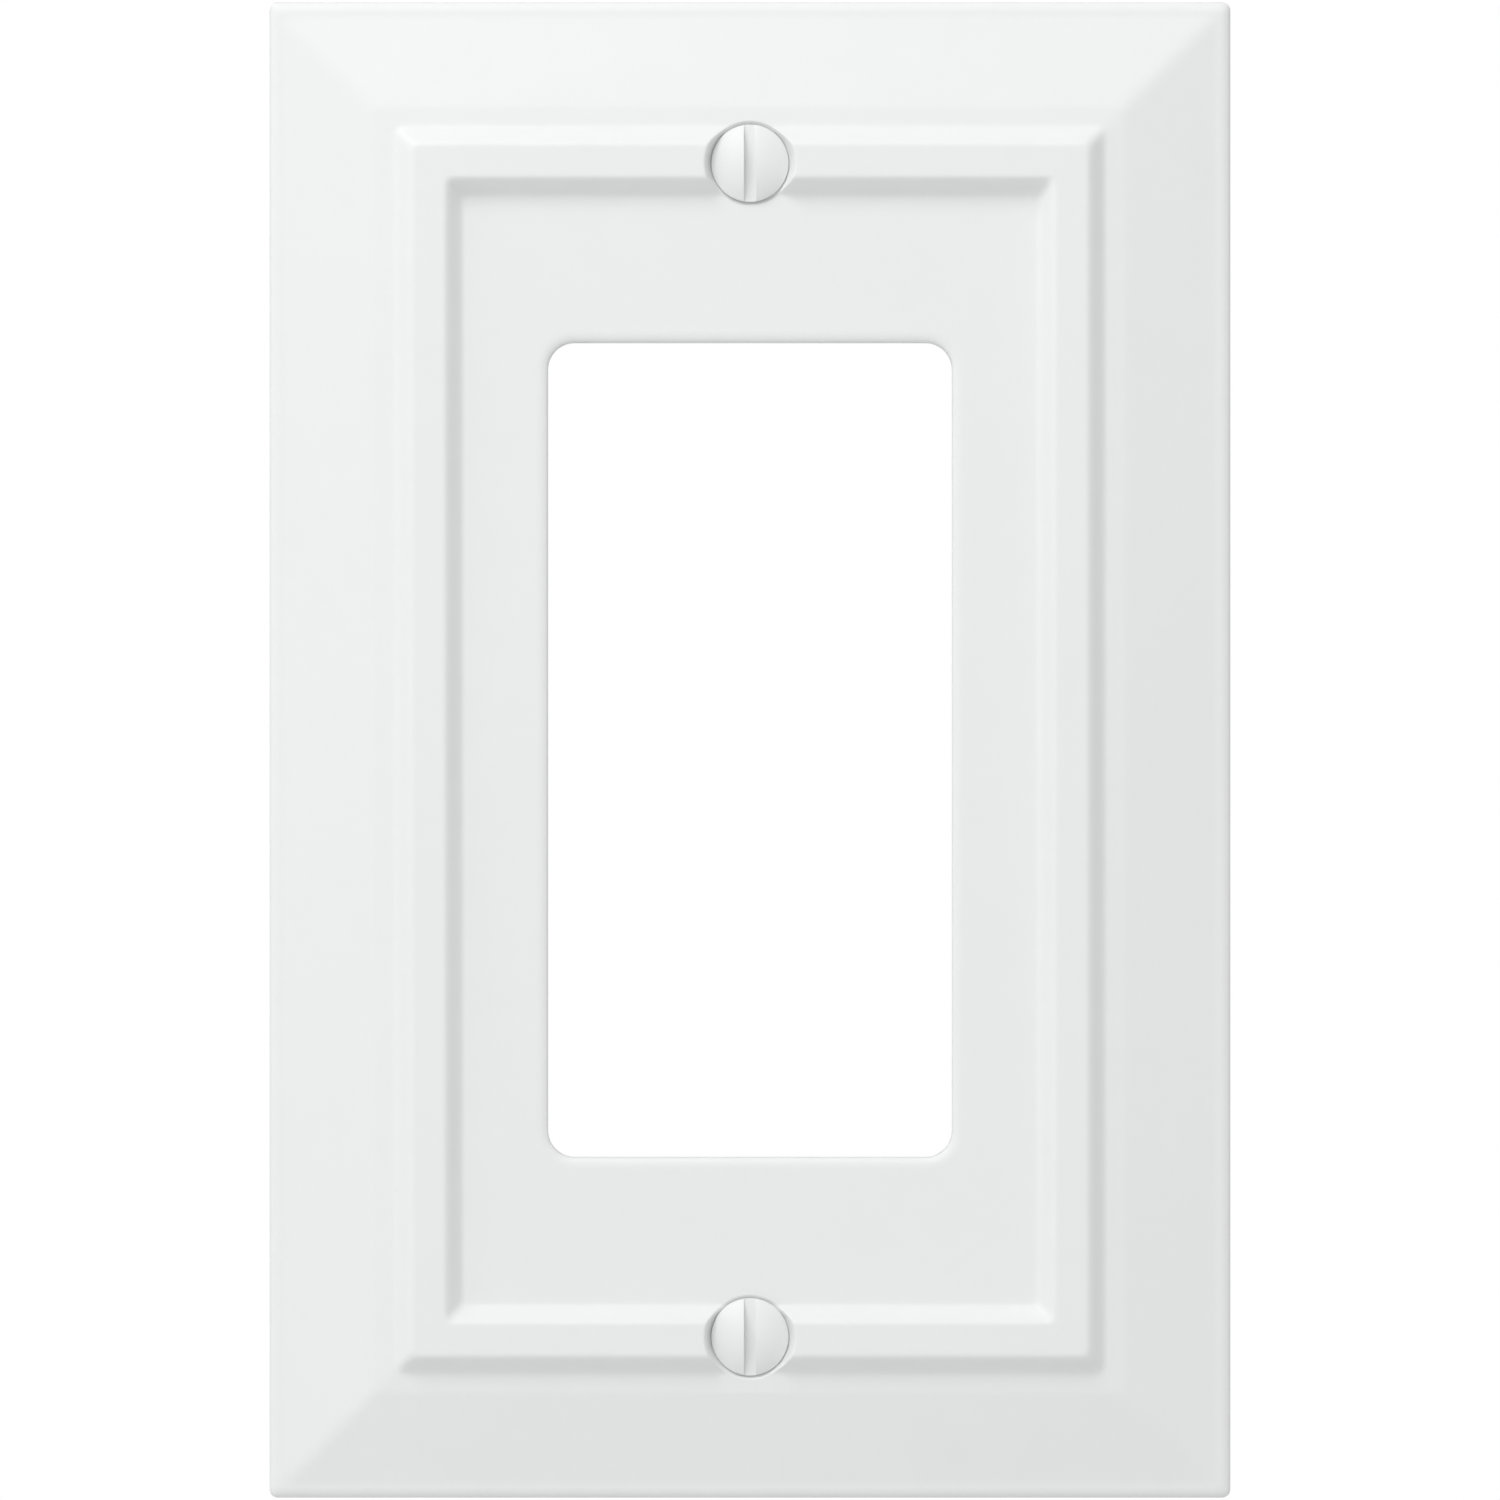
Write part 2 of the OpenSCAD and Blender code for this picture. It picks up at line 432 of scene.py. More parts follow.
# Radius in mm of the first round ring of the front round a hole, then of the rings down its cone
PATCH_RING = 4.25
CONE_RINGS = (
    4.1, 3.97, 3.86, 3.77, 3.7, 3.64, 3.58, 3.52, 3.46,
    3.4, 3.32, 3.2, 3.05, 2.9, 2.75, 2.6, 2.48,
)
# Rounding where a countersink meets its bore
LIP = 0.22 * MM
# Rings between the square patch and the first round one, on the front and on the back
FRONT_BLEND_RINGS, BACK_BLEND_RINGS = 6, 3
# (x, y) in mm of the ejector marks on one side of the plate
EJECTOR_PLACES = ((21.3, 18), (21.3, -18), (11.5, 40), (11.5, -40))


def lay_grid(sizes):
    """A flat grid with its lines where the moulding bends, open at the holes and the opening."""
    stations = edge_stations(sizes)
    half_w, half_h = sizes.opening_w / 2, sizes.opening_h / 2
    arc_x, arc_y = half_w - sizes.opening_r, half_h - sizes.opening_r
    web = sizes.web_w / 2
    from_edge_x = [sizes.width / 2 - w for w in reversed(stations)]
    from_edge_y = [sizes.height / 2 - w for w in reversed(stations)]
    across = run_of(0, (web, 2), (web + 0.15 * MM, 1), (HOLE_PATCH, 16), (arc_x, 4),
                    (half_w + COLLAR_PATCH, 7), (from_edge_x[0], 2))
    up = run_of(0, (arc_y, 7), (half_h + COLLAR_PATCH, 7), (SCREW_HEIGHT - HOLE_PATCH, 6))
    xs = both_sides(across + from_edge_x[1:])
    ys = both_sides(up + from_edge_y[1:])
    bm = bmesh.new()
    bmesh.ops.create_grid(bm, x_segments=len(xs) - 1, y_segments=len(ys) - 1, size=1)
    for vert in bm.verts:
        column = round((vert.co.x + 1) / 2 * (len(xs) - 1))
        row = round((vert.co.y + 1) / 2 * (len(ys) - 1))
        vert.co = Vector((xs[column], ys[row], 0))

    def is_open(face):
        centre = face.calc_center_median()
        by_hole = max(abs(centre.x), abs(abs(centre.y) - SCREW_HEIGHT)) < HOLE_PATCH
        by_opening = abs(centre.x) < half_w + COLLAR_PATCH and abs(centre.y) < half_h + COLLAR_PATCH
        return by_hole or by_opening

    bmesh.ops.delete(bm, geom=[f for f in bm.faces if is_open(f)], context="FACES")
    return bm


def open_rims(sheet):
    """A sheet's four open rims, as lists of edges: outer edge, opening, upper hole, lower hole."""
    rims = {"edge": [], "opening": [], "upper": [], "lower": []}
    edges = {edge for face in sheet for edge in face.edges if edge.is_boundary}
    for edge in edges:
        middle = (edge.verts[0].co + edge.verts[1].co) / 2
        if max(abs(middle.x), abs(abs(middle.y) - SCREW_HEIGHT)) < HOLE_PATCH + 0.01 * MM:
            rims["upper" if middle.y > 0 else "lower"].append(edge)
        elif abs(middle.x) < 20 * MM and abs(middle.y) < 40 * MM:
            rims["opening"].append(edge)
        else:
            rims["edge"].append(edge)
    return rims


def extrude_rim(bm, rim, place):
    """Extrudes an open rim once and puts each new vertex where place says."""
    made = bmesh.ops.extrude_edge_only(bm, edges=rim)["geom"]
    for item in made:
        if isinstance(item, bmesh.types.BMVert):
            item.co = place(item.co.copy())
    return [item for item in made if isinstance(item, bmesh.types.BMEdge)]


def outline_point(sizes, point, outside, height):
    """The point beside this one on the opening's outline, some way outside it."""
    r = sizes.opening_r
    arc_x, arc_y = sizes.opening_w / 2 - r, sizes.opening_h / 2 - r
    x, y = abs(point.x) - arc_x, abs(point.y) - arc_y
    if x > 0 and y > 0:
        scale = (r + outside) / math.hypot(x, y)
        x, y = x * scale, y * scale
    elif x > 0:
        x = r + outside
    else:
        y = r + outside
    return Vector((math.copysign(arc_x + x, point.x), math.copysign(arc_y + y, point.y), height))


def ring_point(point, side, radius, height):
    """The point at this radius from a screw hole's centre, in this one's direction."""
    centre = Vector((0, side * SCREW_HEIGHT, 0))
    spoke = Vector((point.x, point.y, 0)) - centre
    place = centre + spoke.normalized() * radius
    place.z = height(place) if callable(height) else height
    return place


def back_ring_point(sizes, point, side, radius, height):
    """The same on the back, where a web meets the boss."""
    place = ring_point(point, side, radius, height)
    place.z = beside_web(sizes, place, place.z)
    return place


def draw_in(point, side, radius, steps_left, height):
    """A point part of the way from the square patch to a circle round the screw hole."""
    now = hole_distance(point)
    return ring_point(point, side, now + (radius - now) / steps_left, height)


def front_opening_rings(sizes):
    """(distance outside the opening, height) from the panel over the edge and down the wall."""
    r, drop, top = sizes.opening_round, sizes.opening_drop, sizes.panel_h
    rings = [(r + 0.5 * MM, top), (r + 0.06 * MM, top)]
    rings += [(r - across, top - down) for across, down in quarter_round(r, drop, 9)]
    return rings + [(0, top - drop - 0.1 * MM), (0, top - sizes.collar_depth + 0.5 * MM)]


def back_opening_rings(sizes):
    """(distance outside the opening, height) from the underside over the collar to its inside."""
    end, under = sizes.panel_h - sizes.collar_depth, sizes.panel_h - sizes.wall
    wall, r = sizes.collar_wall, 0.2 * MM
    return [
        (wall + 0.06 * MM, under - 0.08 * MM), (wall, under - 0.3 * MM), (wall, end + r),
        (wall - 0.3 * r, end + 0.3 * r), (wall - r, end), (r, end), (0.3 * r, end + 0.3 * r),
        (0, end + r), (0, end + 0.5 * MM),
    ]


def close_hole(bm, sizes, side, front_rim, back_rim):
    """Carries the front's and the back's rims round a screw hole to where they meet inside it."""
    hole, boss, end = sizes.hole_r, sizes.boss_r, sizes.boss_end
    front = lambda place: front_height(sizes, place)
    back = lambda place: back_height(sizes, place)
    for left in range(FRONT_BLEND_RINGS, 0, -1):
        front_rim = extrude_rim(
            bm, front_rim, lambda p: draw_in(p, side, PATCH_RING * MM, left, front)
        )
    for radius in CONE_RINGS:
        front_rim = extrude_rim(bm, front_rim, lambda p: ring_point(p, side, radius * MM, front))
    lip_h = dish_height(sizes, hole + LIP)
    for across, down in quarter_round(LIP, LIP, 4):
        front_rim = extrude_rim(
            bm, front_rim, lambda p: ring_point(p, side, hole + LIP - across, lip_h - down)
        )
    for left in range(BACK_BLEND_RINGS, 0, -1):
        back_rim = extrude_rim(
            bm, back_rim, lambda p: draw_in(p, side, boss + 0.25 * MM, left, back)
        )
    for radius, height in (
        (boss + 0.05 * MM, 4.0 * MM), (boss, 2.7 * MM), (boss, end + 0.25 * MM),
        (boss - 0.07 * MM, end + 0.07 * MM), (boss - 0.25 * MM, end),
        (hole + 0.2 * MM, end), (hole + 0.06 * MM, end + 0.06 * MM), (hole, end + 0.2 * MM),
        (hole, end + 1.0 * MM),
    ):
        back_rim = extrude_rim(
            bm, back_rim, lambda p: back_ring_point(sizes, p, side, radius, height)
        )
    bmesh.ops.bridge_loops(bm, edges=front_rim + back_rim)


def close_opening(bm, sizes, front_rim, back_rim):
    """Carries the front over the opening's edge and the back round the collar to meet it."""
    for outside, height in front_opening_rings(sizes):
        front_rim = extrude_rim(bm, front_rim, lambda p: outline_point(sizes, p, outside, height))
    for outside, height in back_opening_rings(sizes):
        back_rim = extrude_rim(
            bm, back_rim,
            lambda p: outline_point(sizes, p, outside, beside_web(sizes, p, height)),
        )
    bmesh.ops.bridge_loops(bm, edges=front_rim + back_rim)


def close_edge(bm, sizes, front_rim, back_rim):
    """Carries the front's outer rim down the flank to the back's."""
    side = front_profile(sizes, 0)
    for height in (side - 0.3 * MM, 0.4 * MM):
        front_rim = extrude_rim(bm, front_rim, lambda p: Vector((p.x, p.y, height)))
    bmesh.ops.bridge_loops(bm, edges=front_rim + back_rim)


def add_ejector_marks(bm, sizes, mark):
    """Low round pads left on the underside by the die's ejector pins."""
    before = set(bm.verts)
    under = sizes.panel_h - sizes.wall
    for x, y in EJECTOR_PLACES:
        for side in (-1, 1):
            place = Matrix.Translation((side * x * MM, y * MM, under + 0.1 * MM))
            made = bmesh.ops.create_cone(
                bm, cap_ends=True, segments=40, radius1=1.9 * MM, radius2=2.0 * MM,
                depth=0.5 * MM, matrix=place,
            )
            rims = {e for v in made["verts"] for e in v.link_edges if len(e.link_faces) == 2
                    and any(len(f.verts) > 4 for f in e.link_faces)}
            bmesh.ops.bevel(
                bm, geom=list(rims), offset=0.08 * MM, segments=3, profile=0.5,
                affect="EDGES", material=-1,
            )
    for vert in set(bm.verts) - before:
        vert[mark] = 1


def shape_plate(sizes):
    """The whole casting as one closed mesh, standing up."""
    bm = lay_grid(sizes)
    front = list(bm.faces)
    made = bmesh.ops.duplicate(bm, geom=bm.verts[:] + bm.edges[:] + bm.faces[:])["geom"]
    back = [item for item in made if isinstance(item, bmesh.types.BMFace)]
    bmesh.ops.reverse_faces(bm, faces=back)
    mark = bm.verts.layers.float.new(BACK_ATTRIBUTE)
    front_rims, back_rims = open_rims(front), open_rims(back)
    for vert in {v for face in front for v in face.verts}:
        vert.co.z = front_height(sizes, vert.co)
    stations, route_w, route_h = rim_route(sizes)
    for vert in {v for face in back for v in face.verts}:
        distances = edge_distances(sizes, vert.co)
        height = back_height(sizes, vert.co)
        if min(distances) <= stations[-1] + TOUCH:
            height = blend_between(stations, route_h, min(distances))
        moved = [
            blend_between(stations, route_w, w) if w <= stations[-1] else w for w in distances
        ]
        vert.co.x = math.copysign(sizes.width / 2 - moved[0], vert.co.x)
        vert.co.y = math.copysign(sizes.height / 2 - moved[1], vert.co.y)
        vert.co.z = height
        vert[mark] = 1
    close_hole(bm, sizes, 1, front_rims["upper"], back_rims["upper"])
    close_hole(bm, sizes, -1, front_rims["lower"], back_rims["lower"])
    close_opening(bm, sizes, front_rims["opening"], back_rims["opening"])
    close_edge(bm, sizes, front_rims["edge"], back_rims["edge"])
    for vert in bm.verts:
        round_corner(sizes, vert.co)
    bmesh.ops.recalc_face_normals(bm, faces=bm.faces)
    add_ejector_marks(bm, sizes, mark)
    stand_up(bm)
    return bm


# ---------------------------------------------------------------- the screws' shape

# Steps in one turn of the thread; the head has twice as many
TURN_STEPS = 48


def screw_heights(sizes):
    """Named heights along a seated screw, from the wall outwards."""
    high = -SCREW_LOW.y
    rim_top = high - sizes.head_dome
    rim_low = rim_top - sizes.head_rim
    cone = (sizes.head_r - sizes.neck_r) / math.tan(HALF_SINK)
    return {"top": high, "rim_top": rim_top, "rim_low": rim_low, "base": rim_low - cone,
            "end": -SCREW_HIGH.y}


def turn_outline(bm, outline, steps):
    """Turns an outline of (radius, height) points once round the z axis and joins the seam."""
    verts = [bm.verts.new((radius, 0, height)) for radius, height in outline]
    edges = [bm.edges.new(pair) for pair in zip(verts, verts[1:])]
    bmesh.ops.spin(
        bm, geom=verts + edges, cent=(0, 0, 0), axis=(0, 0, 1), angle=2 * math.pi,
        steps=steps, use_merge=True, use_duplicate=False,
    )
    bmesh.ops.remove_doubles(bm, verts=bm.verts, dist=TOUCH)


def shape_head(sizes):
    """The oval head and its neck as one closed turned shape."""
    at = screw_heights(sizes)
    dome_r = (sizes.head_r**2 + sizes.head_dome**2) / (2 * sizes.head_dome)
    half_angle = math.asin(sizes.head_r / dome_r)
    soft = HEAD_SOFTNESS
    dome = []
    for i in range(17):
        angle = half_angle * i / 16
        dome.append((dome_r * math.sin(angle), at["top"] - dome_r + dome_r * math.cos(angle)))
    dome[-1] = (sizes.head_r - soft, at["rim_top"] + soft * 0.45)
    below = [
        (sizes.head_r - soft * 0.3, at["rim_top"] - soft * 0.1),
        (sizes.head_r, at["rim_top"] - soft),
        (sizes.head_r, at["rim_low"] + soft * 0.6),
        (sizes.head_r - soft * 0.5, at["rim_low"] - soft * 0.2),
        (sizes.neck_r + 0.3 * MM, at["base"] + 0.3 * MM / math.tan(HALF_SINK)),
        (sizes.neck_r + 0.08 * MM, at["base"] + 0.02 * MM),
        (sizes.neck_r, at["base"] - 0.15 * MM),
        (sizes.neck_r, sizes.thread_start - 0.3 * MM),
        (0, sizes.thread_start - 0.3 * MM),
    ]
    bm = bmesh.new()
    turn_outline(bm, dome + below, 2 * TURN_STEPS)
    bmesh.ops.recalc_face_normals(bm, faces=bm.faces)
    return bm


def shape_thread(sizes):
    """The threaded shank: one thread's outline turned along a helix and cut flat at both ends."""
    at = screw_heights(sizes)
    rise = sizes.thread_r - sizes.root_r
    start = at["end"] - 1.5 * sizes.pitch
    turns = math.ceil((sizes.thread_start - start) / sizes.pitch) + 2
    outline = [
        (sizes.root_r, 0.0), (sizes.root_r, 0.1), (sizes.root_r + 0.08 * rise, 0.16),
        (sizes.thread_r - 0.08 * rise, 0.44), (sizes.thread_r, 0.5), (sizes.thread_r, 0.6),
        (sizes.thread_r - 0.08 * rise, 0.66), (sizes.root_r + 0.08 * rise, 0.94), (sizes.root_r, 1.0),
    ]
    bm = bmesh.new()
    verts = [bm.verts.new((radius, 0, start + share * sizes.pitch)) for radius, share in outline]
    edges = [bm.edges.new(pair) for pair in zip(verts, verts[1:])]
    bmesh.ops.spin(
        bm, geom=verts + edges, cent=(0, 0, 0), axis=(0, 0, 1), angle=2 * math.pi * turns,
        dvec=(0, 0, sizes.pitch / TURN_STEPS), steps=TURN_STEPS * turns, use_duplicate=False,
    )
    bmesh.ops.remove_doubles(bm, verts=bm.verts, dist=0.002 * MM)
    for height, normal in ((at["end"], -1), (sizes.thread_start, 1)):
        geom = bm.verts[:] + bm.edges[:] + bm.faces[:]
        bmesh.ops.bisect_plane(
            bm, geom=geom, plane_co=(0, 0, height), plane_no=(0, 0, normal), clear_outer=True
        )
        rim = [e for e in bm.edges if e.is_boundary and abs(e.verts[0].co.z - height) < TOUCH]
        bmesh.ops.holes_fill(bm, edges=rim)
    for vert in bm.verts:
        from_end = min(vert.co.z - at["end"], sizes.thread_start - vert.co.z)
        limit = sizes.root_r + (sizes.thread_r - sizes.root_r) * from_end / sizes.lead
        radius = math.hypot(vert.co.x, vert.co.y)
        if from_end < sizes.lead and radius > limit:
            vert.co.x, vert.co.y = vert.co.x * limit / radius, vert.co.y * limit / radius
    bmesh.ops.recalc_face_normals(bm, faces=bm.faces)
    return bm


def cut_slot(piece, sizes):
    """Cuts the driver slot across the dome and rounds its edges."""
    at = screw_heights(sizes)
    low, high = at["top"] - sizes.slot_depth, at["top"] + 1 * MM
    bm = bmesh.new()
    size = Matrix.Diagonal((sizes.slot_w, 4 * sizes.head_r, high - low, 1))
    bmesh.ops.create_cube(bm, size=1, matrix=Matrix.Translation((0, 0, (low + high) / 2)) @ size)
    mesh = bpy.data.meshes.new("slot_cutter")
    bm.to_mesh(mesh)
    bm.free()
    cutter = bpy.data.objects.new("slot_cutter", mesh)
    bpy.context.scene.collection.objects.link(cutter)
    add_modifier(piece, "slot", "BOOLEAN", operation="DIFFERENCE", object=cutter, solver="EXACT")
    add_modifier(
        piece, "soft_edges", "BEVEL", width=HEAD_SOFTNESS, segments=3, limit_method="ANGLE",
        angle_limit=math.radians(35),
    )
    depsgraph = bpy.context.evaluated_depsgraph_get()
    cut = bpy.data.meshes.new_from_object(piece.evaluated_get(depsgraph))
    piece.modifiers.clear()
    piece.data = cut
    bpy.data.objects.remove(cutter)


# ---------------------------------------------------------------- materials

# A Mix node's sockets for colours: the two inputs and the result
MIX_A, MIX_B, MIX_RESULT = 6, 7, 2
# The paint reflects a little less than a plain plastic
PAINT_SPECULAR = 0.35


def new_group(name, inputs, outputs):
    """A shader node group with named sockets, and its input and output nodes."""
    tree = bpy.data.node_groups.new(name, "ShaderNodeTree")
    for label, kind, default in inputs:
        socket = tree.interface.new_socket(name=label, in_out="INPUT", socket_type=kind)
        socket.default_value = default
    for label, kind in outputs:
        tree.interface.new_socket(name=label, in_out="OUTPUT", socket_type=kind)
    return tree, tree.nodes.new("NodeGroupInput"), tree.nodes.new("NodeGroupOutput")


def add_node(tree, kind, links=(), **settings):
    """A node with its settings; links are (input name or number, value or output socket)."""
    node = tree.nodes.new(kind)
    for key, value in settings.items():
        setattr(node, key, value)
    for where, value in links:
        if isinstance(value, bpy.types.NodeSocket):
            tree.links.new(value, node.inputs[where])
        else:
            node.inputs[where].default_value = value
    return node


def sprayed_paint_group():
    """Thick sprayed paint: a faint drift of shade, orange peel and specks of dust under it."""
    tree, given, put = new_group(
        "Sprayed Paint",
        [
            ("Position", "NodeSocketVector", (0, 0, 0)),
            ("Colour", "NodeSocketColor", (0.8, 0.8, 0.8, 1)),
            ("Shade", "NodeSocketColor", (0.7, 0.7, 0.7, 1)),
            ("Roughness", "NodeSocketFloat", 0.45),
            ("Peel Size", "NodeSocketFloat", 1.1 * MM),
        ],
        [("Colour", "NodeSocketColor"), ("Roughness", "NodeSocketFloat"), ("Height", "NodeSocketFloat")],
    )
    scale = add_node(tree, "ShaderNodeMath", [
        (0, 1.0), (1, given.outputs["Peel Size"])], operation="DIVIDE")
    drift = add_node(tree, "ShaderNodeTexNoise", [
        ("Vector", given.outputs["Position"]), ("Scale", 42.0), ("Detail", 3.0), ("Roughness", 0.55)])
    mottle = add_node(tree, "ShaderNodeTexNoise", [
        ("Vector", given.outputs["Position"]), ("Scale", 260.0), ("Detail", 2.0), ("Roughness", 0.5)])
    both = add_node(tree, "ShaderNodeMath", [(0, drift.outputs["Fac"]), (1, mottle.outputs["Fac"])],
                    operation="ADD")
    spread = add_node(tree, "ShaderNodeMapRange", [
        ("Value", both.outputs[0]), ("From Min", 0.75), ("From Max", 1.25)])
    mix = add_node(tree, "ShaderNodeMix", [
        ("Factor", spread.outputs["Result"]), (MIX_A, given.outputs["Colour"]),
        (MIX_B, given.outputs["Shade"])], data_type="RGBA")
    peel = add_node(tree, "ShaderNodeTexNoise", [
        ("Vector", given.outputs["Position"]), ("Scale", scale.outputs[0]), ("Detail", 1.5),
        ("Roughness", 0.4)])
    specks = add_node(tree, "ShaderNodeTexVoronoi", [
        ("Vector", given.outputs["Position"]), ("Scale", 95.0), ("Randomness", 1.0)])
    speck = add_node(tree, "ShaderNodeMapRange", [
        ("Value", specks.outputs["Distance"]), ("From Min", 0.0), ("From Max", 0.018),
        ("To Min", 1.0), ("To Max", 0.0)], interpolation_type="SMOOTHSTEP")
    height = add_node(tree, "ShaderNodeMath", [
        (0, speck.outputs["Result"]), (1, 0.8), (2, peel.outputs["Fac"])], operation="MULTIPLY_ADD")
    rough = add_node(tree, "ShaderNodeMapRange", [
        ("Value", mottle.outputs["Fac"]), ("From Min", 0.3), ("From Max", 0.7),
        ("To Min", -0.04), ("To Max", 0.04)])
    total = add_node(tree, "ShaderNodeMath", [
        (0, given.outputs["Roughness"]), (1, rough.outputs["Result"])], operation="ADD")
    tree.links.new(mix.outputs[MIX_RESULT], put.inputs["Colour"])
    tree.links.new(total.outputs[0], put.inputs["Roughness"])
    tree.links.new(height.outputs[0], put.inputs["Height"])
    return tree


def painted(name, group, finish, colour_in, shade_in, back_colour=None):
    """A white-painted metal. Where a mesh marks its back, the paint there is thinner and rougher."""
    material = bpy.data.materials.new(name)
    material.use_nodes = True
    tree = material.node_tree
    shader = tree.nodes["Principled BSDF"]
    place = add_node(tree, "ShaderNodeTexCoord")
    paint = add_node(tree, "ShaderNodeGroup", node_tree=group)
    shader.inputs["Specular IOR Level"].default_value = PAINT_SPECULAR
    for label, value in (("Colour", (*colour_in, 1)), ("Shade", (*shade_in, 1)),
                         ("Roughness", finish.paint_roughness), ("Peel Size", finish.peel_size)):
        paint.inputs[label].default_value = value
    tree.links.new(place.outputs["Object"], paint.inputs["Position"])
    colour_out, rough_out = paint.outputs["Colour"], paint.outputs["Roughness"]
    height_out = paint.outputs["Height"]
    if back_colour:
        back = add_node(tree, "ShaderNodeAttribute", attribute_name=BACK_ATTRIBUTE)
        cast = add_node(tree, "ShaderNodeTexNoise", [
            ("Vector", place.outputs["Object"]), ("Scale", 900.0), ("Detail", 4.0)])
        patchy = add_node(tree, "ShaderNodeTexNoise", [
            ("Vector", place.outputs["Object"]), ("Scale", 70.0), ("Detail", 5.0), ("Roughness", 0.6)])
        thin = add_node(tree, "ShaderNodeMapRange", [
            ("Value", patchy.outputs["Fac"]), ("From Min", 0.35), ("From Max", 0.75),
            ("To Min", 0.55), ("To Max", 1.0)])
        amount = add_node(tree, "ShaderNodeMath", [
            (0, back.outputs["Fac"]), (1, thin.outputs["Result"])], operation="MULTIPLY")
        tinted = add_node(tree, "ShaderNodeMix", [
            ("Factor", amount.outputs[0]), (MIX_A, colour_out), (MIX_B, (*back_colour, 1))],
            data_type="RGBA")
        rougher = add_node(tree, "ShaderNodeMath", [
            (0, back.outputs["Fac"]), (1, 0.14), (2, rough_out)], operation="MULTIPLY_ADD")
        grain = add_node(tree, "ShaderNodeMath", [
            (0, back.outputs["Fac"]), (1, cast.outputs["Fac"])], operation="MULTIPLY")
        summed = add_node(tree, "ShaderNodeMath", [
            (0, grain.outputs[0]), (1, 2.2), (2, height_out)], operation="MULTIPLY_ADD")
        colour_out = tinted.outputs[MIX_RESULT]
        rough_out, height_out = rougher.outputs[0], summed.outputs[0]
    bump = add_node(tree, "ShaderNodeBump", [
        ("Height", height_out), ("Strength", 0.5), ("Distance", 0.02 * MM)])
    tree.links.new(colour_out, shader.inputs["Base Color"])
    tree.links.new(rough_out, shader.inputs["Roughness"])
    tree.links.new(bump.outputs["Normal"], shader.inputs["Normal"])
    return material


def plated(name, finish):
    """Bright zinc plating with a fine drawn grain round the shank and a few duller patches."""
    material = bpy.data.materials.new(name)
    material.use_nodes = True
    tree = material.node_tree
    shader = tree.nodes["Principled BSDF"]
    place = add_node(tree, "ShaderNodeTexCoord")
    stretch = add_node(tree, "ShaderNodeMapping", [
        ("Vector", place.outputs["Object"]), ("Scale", (300.0, 6000.0, 300.0))])
    grain = add_node(tree, "ShaderNodeTexNoise", [
        ("Vector", stretch.outputs["Vector"]), ("Scale", 1.0), ("Detail", 3.0)])
    patches = add_node(tree, "ShaderNodeTexNoise", [
        ("Vector", place.outputs["Object"]), ("Scale", 600.0), ("Detail", 4.0)])
    tint = add_node(tree, "ShaderNodeMix", [
        ("Factor", patches.outputs["Fac"]), (MIX_A, (*finish.zinc, 1)),
        (MIX_B, (*[c * 0.78 for c in finish.zinc], 1))], data_type="RGBA")
    rough = add_node(tree, "ShaderNodeMapRange", [
        ("Value", patches.outputs["Fac"]), ("From Min", 0.3), ("From Max", 0.7),
        ("To Min", 0.24), ("To Max", 0.42)])
    bump = add_node(tree, "ShaderNodeBump", [
        ("Height", grain.outputs["Fac"]), ("Strength", 0.4), ("Distance", 0.01 * MM)])
    tree.links.new(tint.outputs[MIX_RESULT], shader.inputs["Base Color"])
    tree.links.new(rough.outputs["Result"], shader.inputs["Roughness"])
    tree.links.new(bump.outputs["Normal"], shader.inputs["Normal"])
    shader.inputs["Metallic"].default_value = 1.0
    return material


def studio_floor_material(setup):
    """A pale floor round the plate that brightens to white with distance."""
    material = bpy.data.materials.new("pale_floor")
    material.use_nodes = True
    tree = material.node_tree
    tree.nodes.remove(tree.nodes["Principled BSDF"])
    place = add_node(tree, "ShaderNodeTexCoord")
    distance = add_node(tree, "ShaderNodeVectorMath", [(0, place.outputs["Object"])], operation="LENGTH")
    far = add_node(tree, "ShaderNodeMapRange", [
        ("Value", distance.outputs["Value"]), ("From Min", setup.fade_start),
        ("From Max", setup.fade_end)], interpolation_type="SMOOTHSTEP")
    path = add_node(tree, "ShaderNodeLightPath")
    glow = add_node(tree, "ShaderNodeEmission", [("Color", (1, 1, 1, 1)), ("Strength", 1.0)])
    pale = add_node(tree, "ShaderNodeBsdfDiffuse", [("Color", (0.74, 0.74, 0.74, 1))])
    bounce = add_node(tree, "ShaderNodeBsdfDiffuse", [("Color", (0.78, 0.78, 0.78, 1))])
    seen = add_node(tree, "ShaderNodeMixShader", [
        (0, far.outputs["Result"]), (1, pale.outputs[0]), (2, glow.outputs[0])])
    mix = add_node(tree, "ShaderNodeMixShader", [
        (0, path.outputs["Is Camera Ray"]), (1, bounce.outputs[0]), (2, seen.outputs[0])])
    tree.links.new(mix.outputs[0], tree.nodes["Material Output"].inputs["Surface"])
    return material


# ---------------------------------------------------------------- the stage


